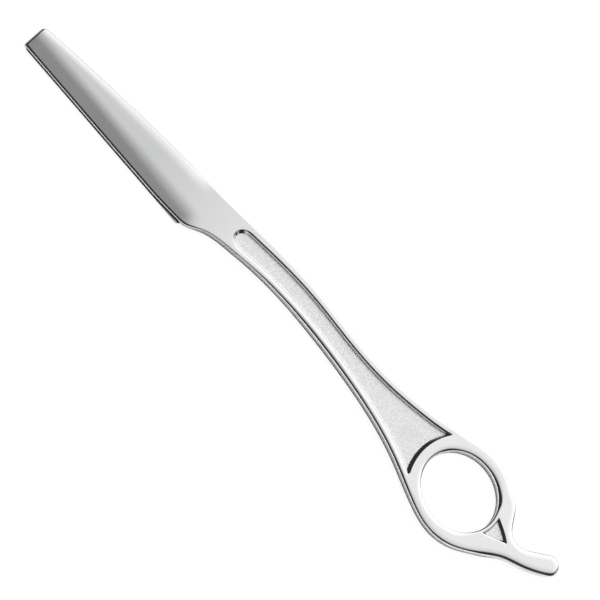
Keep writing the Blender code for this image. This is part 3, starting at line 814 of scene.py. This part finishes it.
def boreCrown(point):
    # narrow beside the web recess and the wider rounds
    width, drop = crownOf(point, eased((body["boreCrownEnd"] - point[0]) / body["boreCrownBlend"]))
    leastRound = min(radius for _, radius in body["boreRounds"])
    return max(width - boreRound(point) + leastRound, body["boreCrownLeast"]), drop


# Recesses

recess = {
    "rimSpine": 1.95,       # flat left beside the spine, the belly and the ring
    "rimBelly": 1.25,
    "rimRing": 3.3,
    "rimNeck": 12.3,        # from the heel
    "neckRound": 3.6,
    "neckDrop": 0.3,
    "endRadius": 20.5,
    "corner": 1.0,
    "sharpCorner": 2.9,
    "depth": 1.0,
    # rim, foot and lean of the walls, by the angle that they face
    "walls": ((0.0, 0.25, 0.30, 44.0), (45.0, 0.25, 0.30, 42.0), (62.0, 1.50, 0.60, 37.0),
              (112.0, 1.50, 0.60, 37.0), (132.0, 0.30, 0.30, 56.0), (143.0, 0.30, 0.30, 52.0),
              (168.0, 0.25, 0.30, 43.0), (235.0, 0.25, 0.30, 43.0), (252.0, 0.60, 0.36, 82.0),
              (286.0, 0.60, 0.36, 82.0), (302.0, 0.25, 0.30, 50.0)),
    "gentleRim": 1.0,
    "gentlePolish": 15.0,
    "underDepth": 0.6,
    "underWall": (0.3, 0.3, 80.0),      # of every wall on the underside
}

web = {
    "rim": 0.95,            # flat left beside the bore
    "reach": 7.85,          # of the far corner, from the bore's edge
    "drop": 1.5,
    "angles": (14.5, -23.5),            # of the two near corners
    "headings": (22.0, 25.0, 137.0, 155.0),
    "corner": 0.9,
    "depth": 0.9,
    "walls": ((0.0, 0.60, 0.15, 75.0), (45.0, 0.60, 0.15, 75.0), (75.0, 0.60, 0.40, 42.0),
              (130.0, 0.60, 0.40, 42.0), (160.0, 0.20, 0.20, 56.0), (270.0, 0.20, 0.20, 56.0),
              (320.0, 0.60, 0.15, 75.0)),
}


def arcBetween(radius, centre, first, last):
    steps = math.ceil(abs(first - last) / fineness["angleStep"]) * fineness["arcSplit"]
    return [polar(radius, first + (last - first) * k / steps, centre) for k in range(steps + 1)]


def handleRecess():
    # beside both edges of the handle, round at the neck, an arc by the ring
    middleX = recess["endRadius"] - body["boreRadius"] - recess["rimRing"]
    centre = Vector((middleX, 0.0))
    belly = flow(bellyNodes[1:] + tangNodes[:1])
    spine = flow([tangNodes[-1]] + spineNodes[:5])[::-1]
    low = upToCircle(offsetPoints(belly, -recess["rimBelly"], closed=False), centre, recess["endRadius"])
    high = upToCircle(offsetPoints(spine, recess["rimSpine"], closed=False), centre, recess["endRadius"])
    neckX = heelX + recess["rimNeck"]
    low = [point for point in low if point.x > neckX + recess["neckRound"]]
    high = [point for point in high if point.x > neckX + recess["neckRound"]]
    first, last = [math.degrees(math.atan2(side[-1].y, side[-1].x - middleX)) % 360.0 for side in (low, high)]
    arc = arcBetween(recess["endRadius"], centre, first, last)
    nose = flow([(high[0], headingBetween(high[1], high[0])),
                 ((neckX, (low[0].y + high[0].y) / 2.0 - recess["neckDrop"]), 270.0),
                 (low[0], headingBetween(low[0], low[1]))])
    return joined([nose[:-1] + low, arc, high[::-1]],
                  [recess["sharpCorner"], recess["corner"], recess["corner"]])


def webRecess():
    # the three-sided one between the ring and the tang
    arc = arcBetween(body["boreRadius"] + web["rim"], (0.0, 0.0), *web["angles"])
    far = Vector((body["boreRadius"] + web["reach"], -web["drop"]))
    lower = flow([(arc[-1], web["headings"][0]), (far, web["headings"][1])])
    upper = flow([(far, web["headings"][2]), (arc[0], web["headings"][3])])
    return joined([arc, lower, upper], [web["corner"]] * 3)


def levelled(points, heights):
    # points that gather at one place get one height, also where they pass the loop's start
    for _ in range(2):
        for i in range(len(points)):
            if (points[i] - points[i - 1]).length < fineness["samePlace"]:
                heights[i] = heights[i - 1]
    return heights


def profileLoops(bm, points, profiles, face, sign, side=1):
    # a loop for each step of the points' (inset, drop, wear) profiles; sign is 1 for the upper
    # face, and side is 1 where they go inwards from the points
    loops = []
    for k, (_, _, wear) in enumerate(profiles[0]):
        moved = offsetPoints(points, [-side * profile[k][0] for profile in profiles])
        heights = [face(point) - sign * profile[k][1] for point, profile in zip(moved, profiles)]
        loops.append(loopVertices(bm, moved, levelled(moved, heights), wear))
    return loops


def rimLoops(bm, points, roundAt, side, face, sign, crownAt=always((0.0, 0.0))):
    # from a face over its gentle fall and rounded edge to the wall
    profiles = [rimProfile(roundAt(point), *crownAt(point)) for point in points]
    return profileLoops(bm, points, profiles, face, sign, side)


def rimProfile(radius, width, drop):
    start = math.atan2(2.0 * drop, width) if width > 0.0 else 0.0
    profile = [(radius + width * (1.0 - t), drop * t * t, 0.0) for t in fineness["crownStops"]]
    count = fineness["roundSteps"]
    for k in range(count + 1):
        angle = start + (math.pi / 2.0 - start) * k / count
        inset = radius * (1.0 - math.sin(angle)) / (1.0 - math.sin(start))
        profile.append((inset, drop + radius * (math.cos(start) - math.cos(angle)), math.sin(2.0 * angle)))
    return profile


def recessProfile(depth, rim, foot, lean):
    # from the mouth down the leaning wall and round into the floor
    wall = math.radians(lean)
    straight = depth - (rim + foot) * (1.0 - math.cos(wall))
    width = (rim + foot) * math.sin(wall) + straight / math.tan(wall)
    steps = fineness["roundSteps"]
    angles = [math.radians(lean * k / steps) for k in range(steps + 1)]
    over = [(rim * math.sin(a), rim * (1.0 - math.cos(a)), math.sin(math.pi * (k / steps)))
            for k, a in enumerate(angles)]
    into = [(width - foot * math.sin(a), depth - foot * (1.0 - math.cos(a)), 0.0) for a in reversed(angles)]
    return over + into


def wallsOf(mouth, walls):
    # each point's rim, foot and lean, eased from one to the next
    faced = []
    for i in range(len(mouth)):
        before, after = mouth[i - 1], mouth[(i + 1) % len(mouth)]
        faced.append(byAngle((polarAngle(after - before) + 90.0) % 360.0, walls))
    for _ in range(fineness["wallEasing"]):
        faced = [[(a + 2.0 * b + c) / 4.0 for a, b, c in zip(before, here, after)]
                 for before, here, after in zip(faced[-1:] + faced[:-1], faced, faced[1:] + faced[:1])]
    return faced


def recessWalls(bm, mouth, face, sign, depth, walls):
    # the rim and wall are polished, the foot and the floor blasted, and most of a gentle wall too
    loops = profileLoops(bm, mouth, [recessProfile(depth, *wall) for wall in walls], face, sign)
    steps = fineness["roundSteps"]
    skin(bm, loops, [int(steps * recess["gentlePolish"] / lean) if rim > recess["gentleRim"] else steps + 1
                     for rim, _, lean in walls])
    fill(bm, [loops[-1]], slot=1)
    return loops[0]


def crownPoints(boundary):
    # rows of points along the head that carry its ground face and its fall towards the spine
    sides = [(a, b) for a, b in roundPairs(boundary) if (b - a).length > fineness["shortEdge"]]
    step, across, fallRows = fineness["crownStep"], fineness["crownAcross"], fineness["fallRows"]
    points = []
    u = -head["bevelRunout"] - step
    while u < head["edgeLength"]:
        near = [side for side in sides if abs(headPlace(side[0])[0] - u) < fineness["crownReach"]]
        width = spineFallWidth(u)
        fallRow = spineReach(u) - width
        rows = [k * step * across for k in range(int(head["width"] / step / across))]
        rows = [row for row in rows if row < fallRow - step * fineness["crownGap"]]
        for v in rows + [fallRow + k * width / fallRows for k in range(fallRows)]:
            point = headPoint(u, v)
            if isInside(point, sides) and clearOf(point, near, fineness["crownMargin"]):
                points.append(point)
        u += step
    return points


def clearOf(point, sides, margin):
    for a, b in sides:
        side = b - a
        share = min(max((point - a).dot(side) / side.length_squared, 0.0), 1.0)
        if (point - (a + share * side)).length < margin:
            return False
    return True


def makeFrameMesh():
    bm = bmesh.new()
    bore = circle(body["boreRadius"], sides=fineness["boreSides"])
    top = rimLoops(bm, outline, rimRound, 1, topHeight, 1, outerCrown)
    bottom = rimLoops(bm, outline, underRound, 1, underside, -1, underCrown)
    skin(bm, top + bottom[::-1])
    boreTop = rimLoops(bm, bore, boreRound, -1, topHeight, 1, boreCrown)
    boreBottom = rimLoops(bm, bore, always(body["boreUnder"]), -1, underside, -1)
    skin(bm, boreTop + boreBottom[::-1])
    mouths = [(handleRecess(), recess), (webRecess(), web)]
    rims = [recessWalls(bm, mouth, topHeight, 1, look["depth"], wallsOf(mouth, look["walls"]))
            for mouth, look in mouths]
    flatEdge = [vertex.co.to_2d() for vertex in top[0]]
    fill(bm, [top[0], boreTop[0]] + rims, crownPoints(flatEdge), topHeight)
    rims = [recessWalls(bm, mouth, underside, -1, recess["underDepth"], [recess["underWall"]] * len(mouth))
            for mouth, _ in mouths]
    fill(bm, [bottom[0], boreBottom[0]] + rims)
    return finishedMesh(bm, onFrame)


# Parts let into the head, in its own axes: x along the edge, y out across it, z up

blade = {
    "clearance": 0.28,      # round all that is let into the head
    "length": 65.0,
    "width": 4.6,
    "thickness": 0.22,
    "exposure": 0.3,        # past the head's own edge
    "grind": 0.95,
    "grindLeast": 0.25,     # past a cut corner
    "honed": 0.06,          # the last, steeper cut at the edge
    "honedThickness": 0.04,
    "keen": 0.012,
    "corner": 0.8,
    "heel": 0.7,            # from the head's heel
    "slotLip": 0.13,        # the slot is this much lower at its mouth
    "slotLipDepth": 1.0,
    "slotLipStep": 0.2,
    "slotRunout": 8.0,      # its ramp, which starts an overrun past the heel
    "slotOverrun": 3.0,
}

plate = {
    "thickness": 0.32,
    "setback": 0.5,         # from the cutting edge
    "spineInset": 1.9,
    "heel": 2.4,            # past the head's heel
    "tipSetback": 0.8,
    "cornerAlong": 5.4,     # its cut corner at the heel
    "cornerAcross": 2.3,
    "steps": 40,
    "softEdge": 0.05,
}

rivets = {
    "stations": {"rivet_heel": 8.0, "rivet_middle": 32.0, "rivet_tip": 56.0},
    "margin": 1.7,          # from the plate's edge by the spine
    "radius": 0.6,
    "headRadius": 1.1,
    "length": 1.7,
    "softEdge": 0.04,
    "softFace": (3.0, 0.3),     # width and height of the fall before it, in soft edges
}

pins = {
    "stopRadius": 0.6,
    "stopOffset": 3.2,      # from the cutting edge
    "stopLength": 1.75,
    "springRadius": 0.45,
    "springLength": 0.8,
    "softEdge": 0.06,
    "endGap": 0.15,         # between a pin's end and its bore's
}

spring = {
    "length": 34.0,
    "width": 2.4,
    "thickness": 0.2,
    "start": 7.0,           # from the head's heel
    "offset": 3.7,          # from the cutting edge
    "root": 4.0,            # the flat end that its pin holds
    "bow": 0.15,            # how far it comes down in the middle
    "steps": 40,
}

clearance = blade["clearance"]
overrun = 2.0               # how far a cutter runs past what it cuts
bladeLow = plate["thickness"] + clearance
slotRoof = bladeLow + blade["thickness"] + clearance
slotBack = blade["width"] - blade["exposure"] + clearance


def plateOutline(grow=0.0):
    low = -plate["heel"] - grow
    high = head["edgeLength"] - plate["tipSetback"] + grow
    stations = [low + (high - low) * k / plate["steps"] for k in range(plate["steps"] + 1)]
    back = [(u, spineReach(u) - plate["spineInset"] + grow) for u in stations]
    corner = [(low + plate["cornerAlong"], plate["setback"]), (low, plate["setback"] + plate["cornerAcross"])]
    return [Vector((u, -v)) for u, v in corner + back + [(high, plate["setback"])]][::-1]


def seatOutline():
    # the plate's outline with its clearance, run out past the tip and the cutting edge
    back = plateOutline(clearance)[1:-2]
    tip = head["edgeLength"] + overrun
    return back + [Vector((back[-1].x, overrun)), Vector((tip, overrun)), Vector((tip, back[0].y))]


def rivetPlace(u):
    return (u, -(spineReach(u) - plate["spineInset"] - rivets["margin"]))


stopPlace = (blade["heel"] - clearance - pins["stopRadius"], -pins["stopOffset"])
springPinPlace = (spring["start"] + spring["root"] / 2.0, -spring["offset"])


def standing(place, height=0.0):
    return onHead @ Matrix.Translation((place[0], place[1], height))


def makeCutters(finish):
    # the blade slot with its ramp at the heel, the plate's seat, the spring's pocket and the bores
    def block(name, points, top):
        return newPiece(name, sheetMesh(points, [], always(-overrun), always(top), onHead), finish)

    tip = head["edgeLength"] + overrun
    foot = -blade["slotOverrun"] - blade["slotRunout"] * (1.0 + overrun / slotRoof)
    lip, lipRoof = blade["slotLipDepth"], slotRoof - blade["slotLip"]
    stations = ((-slotBack, slotRoof), (-lip, slotRoof), (blade["slotLipStep"] - lip, lipRoof),
                (head["heelDrop"] + overrun, lipRoof))
    sections = [[(tip, y, -overrun), (tip, y, roof), (-blade["slotOverrun"], y, roof), (foot, y, -overrun)]
                for y, roof in stations]
    cutters = [newPiece("slotCutter", sweptMesh(sections, onHead), finish),
               block("seatCutter", seatOutline(), plate["thickness"] + clearance)]
    half = spring["width"] / 2.0 + clearance
    start, end = spring["start"] - clearance, spring["start"] + spring["length"] + clearance
    corners = ((start, -half), (end, -half), (end, half), (start, half))
    pocket = [Vector((u, y - spring["offset"])) for u, y in corners]
    cutters.append(block("springCutter", pocket, slotRoof + spring["bow"] + spring["thickness"] + clearance))
    bores = [(rivetPlace(u), rivets["radius"], rivets["length"]) for u in rivets["stations"].values()]
    bores.append((stopPlace, pins["stopRadius"], pins["stopLength"]))
    bores.append((springPinPlace, pins["springRadius"], slotRoof + pins["springLength"]))
    for k, (place, radius, top) in enumerate(bores):
        cutters.append(block(f"boreCutter{k}", circle(radius + clearance, place), top + pins["endGap"]))
    return cutters


def makeFrame(polished, blasted, milled):
    piece = newPiece("razorFrame", makeFrameMesh(), polished, blasted)
    return settled(carved(piece, makeCutters(milled)))


def makeBlade(finish):
    # a narrow strip, hollow-ground and then honed to a keen edge, with its corners cut off
    middle = blade["thickness"] / 2.0
    keen, honed = blade["keen"] / 2.0, blade["honedThickness"] / 2.0
    ends = ((0.0, blade["corner"]), (blade["corner"], 0.0),
            (blade["length"] - blade["corner"], 0.0), (blade["length"], blade["corner"]))
    sections = []
    for u, backOff in ends:
        ground = min(-blade["grind"], -backOff - blade["grindLeast"])
        upper = [(-backOff, middle + keen), (-backOff - blade["honed"], middle + honed),
                 (ground, blade["thickness"]), (-blade["width"], blade["thickness"])]
        lower = [(y, 2.0 * middle - z) for y, z in reversed(upper)]
        sections.append([(u, y, z) for y, z in upper + lower])
    place = onHead @ Matrix.Translation((blade["heel"], blade["exposure"], bladeLow))
    return settled(newPiece("slideBlade", sweptMesh(sections, place), finish))


def makePlate(finish):
    holes = [(circle(rivets["headRadius"] + clearance, rivetPlace(u)),
              circle(rivets["radius"] + clearance, rivetPlace(u))) for u in rivets["stations"].values()]
    stopHole = circle(pins["stopRadius"] + clearance, stopPlace)
    holes.append((stopHole, stopHole))
    mesh = sheetMesh(plateOutline(), holes, always(0.0), always(plate["thickness"]), onHead,
                     plate["softEdge"])
    return settled(newPiece("backPlate", mesh, finish))


def makeRivets(finish):
    # countersunk heads, flush with the plate, on shanks that stand in the frame
    made = {}
    edge = rivets["softEdge"]
    width, rise = rivets["softFace"]
    profile = [(rivets["headRadius"] - width * edge, 0.0), (rivets["headRadius"] - edge, rise * edge),
               (rivets["headRadius"], edge), (rivets["radius"], plate["thickness"]),
               (rivets["radius"], rivets["length"] - edge), (rivets["radius"] - edge, rivets["length"])]
    for node, u in rivets["stations"].items():
        mesh = turnedMesh(profile, standing(rivetPlace(u)))
        made[node] = settled(newPiece(node.replace("rivet_", "rivetNear_"), mesh, finish))
    return made


def makePin(name, radius, length, place, low, finish):
    edge = pins["softEdge"]
    profile = [(radius - edge, 0.0), (radius, edge), (radius, length - edge), (radius - edge, length)]
    return settled(newPiece(name, turnedMesh(profile, standing(place, low)), finish))


def makeSpring(finish):
    # a leaf held by its pin at the root and bowed down to press on the blade
    half = spring["width"] / 2.0
    start, end = spring["start"], spring["start"] + spring["length"]
    free = spring["length"] - spring["root"]
    stations = [start] + [start + spring["root"] + free * k / spring["steps"]
                          for k in range(spring["steps"] + 1)]
    near = [Vector((u, half - spring["offset"])) for u in stations]
    far = [Vector((u, -half - spring["offset"])) for u in stations]

    def low(point):
        share = max(point[0] - start - spring["root"], 0.0) / free
        return slotRoof + spring["bow"] - spring["bow"] * math.sin(math.pi * share)

    def high(point):
        return low(point) + spring["thickness"]

    hole = circle(pins["springRadius"] + clearance, springPinPlace)
    mesh = sheetMesh(far + near[::-1], [(hole, hole)], low, high, onHead)
    return settled(newPiece("leafSpring", mesh, finish))


# Studio

studio = {
    # the room's brightness, from the cutting edge's side (-1) to the spine's (1)
    "glow": [(-0.10, 0.006), (0.07, 0.02), (0.21, 0.36), (0.39, 0.66), (0.54, 0.93), (0.74, 1.55),
             (1.00, 2.40)],
    "brightest": 2.4,
    "tipSide": (-0.45, -0.08),          # it darkens towards the tip, the tang and the horizon
    "tangSide": (0.40, 0.60),
    "horizon": (0.08, 0.34),
    "shade": 0.03,                      # what the dark walls still give
    "below": (-0.01, 0.03),             # white under the horizon
    "belowGlow": 0.95,
    "overhead": (0.982, 0.996),         # a small light straight above
    "overheadGlow": 0.35,
    # two fainter lights low beyond the tang, for views from behind and from the side: their span
    # along the razor, which side of it they are on (-1 is the cutting edge's) and their span there
    "lowLights": (((0.42, 0.60), -1.0, (0.35, 0.55)), ((0.60, 0.75), 1.0, (0.10, 0.30))),
    "lowGlow": 0.55,
    "lowFoot": (0.04, 0.12),
    "lowTop": (0.34, 0.52),
    "floorColour": (0.88, 0.88, 0.885),
    "floorRoughness": 0.5,
    "floorGlow": 1.08,      # what the viewer sees of the table, shadows apart
    "floorShare": 0.88,
    "floorReach": 14.0,
    "floorParts": 4,
    "floorGap": 0.02,
}

lamp = {"place": (0.26, 0.62, 1.08), "size": 1.0, "power": 20.0}


def lightRoom():
    # a wide light behind and above the razor, dark the other ways, white below
    world = bpy.data.worlds.new("studioRoom")
    scene.world = world
    world.use_nodes = True
    shader = Shader(world.node_tree)
    ray = shader.node("TexCoord", output="Generated")
    along, facing, height = [shader.node("SeparateXYZ", sockets={"Vector": ray}, output=k) for k in range(3)]
    sides = along.between(*studio["tipSide"]) * (1.0 - along.between(*studio["tangSide"]))
    low, high = studio["glow"][0][0], studio["glow"][-1][0]
    stops = [((place - low) / (high - low), value / studio["brightest"]) for place, value in studio["glow"]]
    glow = shader.node("ValToRGB", {"stops": stops}, {"Fac": (facing - low) / (high - low)})
    below = (0.0 - height).between(*studio["below"])
    strength = (glow * studio["brightest"] * sides * height.between(*studio["horizon"])
                + below * studio["belowGlow"] + studio["shade"]
                + height.between(*studio["overhead"]) * studio["overheadGlow"])
    for reach, side, span in studio["lowLights"]:
        light = (along.between(*reach) * (facing * side).between(*span) * height.between(*studio["lowFoot"])
                 * (1.0 - height.between(*studio["lowTop"])))
        strength = strength + light * studio["lowGlow"]
    room = shader.node("Background", {}, {"Color": (1.0, 1.0, 1.0, 1.0), "Strength": strength})
    shader.node("OutputWorld", {}, {"Surface": room})


def makeLamp():
    data = bpy.data.lights.new("softbox", "AREA")
    data.shape = "SQUARE"
    data.size = lamp["size"]
    data.energy = lamp["power"]
    item = placed("softbox", data)
    item.location = lamp["place"]
    item.rotation_euler = (-Vector(lamp["place"])).to_track_quat("-Z", "Y").to_euler()
    item.visible_camera = False
    item.visible_glossy = False     # it lights the table; the steel mirrors the room alone


def makeFloor():
    bm = bmesh.new()
    bmesh.ops.create_grid(bm, x_segments=studio["floorParts"], y_segments=studio["floorParts"],
                          size=studio["floorReach"])
    mesh = bpy.data.meshes.new("tableTop")
    bm.to_mesh(mesh)
    bm.free()
    material, shader = newFinish("whiteTable")
    paper = shader.node("BsdfDiffuse", {}, {"Color": (*studio["floorColour"], 1.0),
                                            "Roughness": studio["floorRoughness"]})
    glow = shader.node("Emission", {}, {"Color": (1.0, 1.0, 1.0, 1.0), "Strength": studio["floorGlow"]})
    seen = shader.node("LightPath", output="Is Camera Ray") * studio["floorShare"]
    surface = shader.node("MixShader", {}, {0: seen, 1: paper, 2: glow})
    shader.node("OutputMaterial", {}, {"Surface": surface})
    floor = newPiece("tableTop", mesh, material)
    floor.location.z = -studio["floorGap"] * mm


viewpoint = {
    "azimuth": -8.613,
    "elevation": 56.616,
    "roll": 52.697,
    "lens": 1200.0,
    "sensor": 36.0,
    "clip": (0.1, 100.0),
    "frameWidth": 166.67,               # what the picture spans at the razor
    "target": (-0.150, 5.749, 3.732),   # what stands in its middle
}


def makeCamera():
    azimuth, elevation, roll = [math.radians(viewpoint[name]) for name in ("azimuth", "elevation", "roll")]
    back = Vector((math.sin(azimuth) * math.cos(elevation), -math.cos(azimuth) * math.cos(elevation),
                   math.sin(elevation)))
    flat = Vector((math.cos(azimuth), math.sin(azimuth), 0.0))
    rise = back.cross(flat)
    right = math.cos(roll) * flat + math.sin(roll) * rise
    up = back.cross(right)
    data = bpy.data.cameras.new("viewpoint")
    data.lens = viewpoint["lens"]
    data.sensor_width = viewpoint["sensor"]
    away = viewpoint["frameWidth"] * mm * data.lens / data.sensor_width
    data.clip_start, data.clip_end = viewpoint["clip"]
    camera = placed("viewpoint", data)
    turn = Matrix((right, up, back)).transposed().to_4x4()
    camera.matrix_world = Matrix.Translation(Vector(viewpoint["target"]) * mm + back * away) @ turn
    scene.camera = camera


# Making and placing

makeCamera()
polished, blasted = polishedSteel(), blastedSteel()
milled = drawnSteel("milled")
print("finishes made")

razorFrame = makeFrame(polished, blasted, milled)
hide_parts("frame")
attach(razorFrame, "holder")
print("frame made,", len(razorFrame.data.polygons), "faces")

slideBlade = makeBlade(drawnSteel("blade"))
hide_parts("blade")
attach(slideBlade, "blade")
print("blade made")

backPlate = makePlate(drawnSteel("plate"))
leafSpring = makeSpring(drawnSteel("spring"))
pinFinish = drawnSteel("pin")
stopPin = makePin("stopPin", pins["stopRadius"], pins["stopLength"], stopPlace, 0.0, pinFinish)
springPin = makePin("springPin", pins["springRadius"], pins["springLength"], springPinPlace, slotRoof,
                    pinFinish)
fittings = {"back_plate": (backPlate, "plate_steel"), "leaf_spring": (leafSpring, "spring_steel"),
            "stop_pin": (stopPin, "pin_steel"), "spring_pin": (springPin, "pin_steel")}
for node, piece in makeRivets(pinFinish).items():
    fittings[node] = (piece, "pin_steel")
for node, (piece, slotName) in fittings.items():
    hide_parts(node)
    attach(piece, "holder")
print("plate, rivets, spring and pins made")

lightRoom()
makeLamp()
makeFloor()
scene.view_settings.view_transform = "Standard"
print("studio lit")
